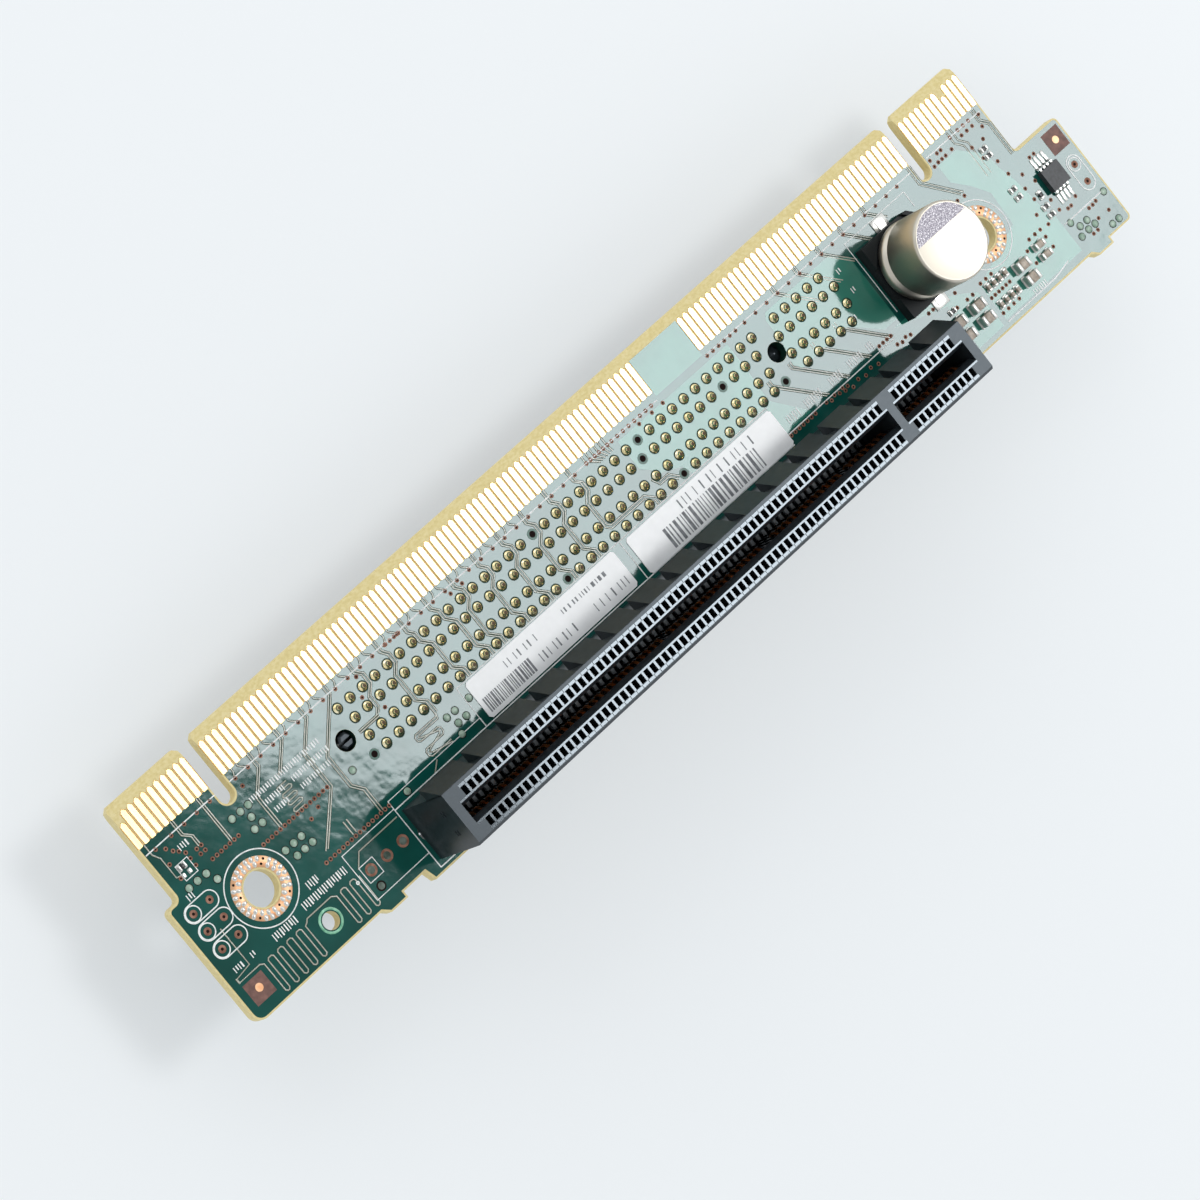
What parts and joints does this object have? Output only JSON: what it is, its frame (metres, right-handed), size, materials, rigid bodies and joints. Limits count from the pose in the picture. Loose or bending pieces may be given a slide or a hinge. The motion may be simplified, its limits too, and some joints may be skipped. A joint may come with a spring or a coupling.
{
  "type": "pcie riser card",
  "caption": "Riser card for a rack server: a green circuit board with a gold edge connector, a long card slot on each face, mounting holes and a can capacitor.",
  "frame": {"origin": "centre of the left mounting hole, on the component face of the board", "axes": "+X along the card towards the capacitor, +Y towards the gold edge, +Z out of the component face"},
  "size_m": [0.1524, 0.0302, 0.0241],
  "materials": {
    "laminate": "green solder mask over glass-fibre laminate, semi-gloss",
    "hard_gold": "hard gold plating, bright",
    "housing_plastic": "black glass-filled moulding, satin",
    "contact_metal": "gold-flashed spring alloy",
    "can_aluminium": "bare drawn can, satin",
    "base_plastic": "black moulding, matt",
    "tinned_metal": "tinned, bright",
    "moulding_compound": "black epoxy moulding, matt",
    "capacitor_ceramic": "tan ceramic, satin",
    "resistor_ceramic": "black coated ceramic, satin",
    "label_paper": "white coated paper, matt"
  },
  "bodies": {
    "root": {"circuit_board": "laminate", "gold_fingers_front": "hard_gold", "gold_fingers_back": "hard_gold", "front_slot_housing": "housing_plastic", "rear_slot_housing": "housing_plastic", "front_slot_contacts": "contact_metal", "rear_slot_contacts": "contact_metal", "rear_slot_tails": "contact_metal", "capacitor_can": "can_aluminium", "capacitor_base": "base_plastic", "capacitor_leads": "tinned_metal", "ic_body": "moulding_compound", "ic_leads": "tinned_metal", "large_capacitor_bodies": "capacitor_ceramic", "large_capacitor_terminals": "tinned_metal", "medium_capacitor_bodies": "capacitor_ceramic", "medium_capacitor_terminals": "tinned_metal", "small_capacitor_bodies": "capacitor_ceramic", "small_capacitor_terminals": "tinned_metal", "resistor_bodies": "resistor_ceramic", "resistor_terminals": "tinned_metal", "revision_label": "label_paper", "serial_label": "label_paper"}
  },
  "joints": []
}
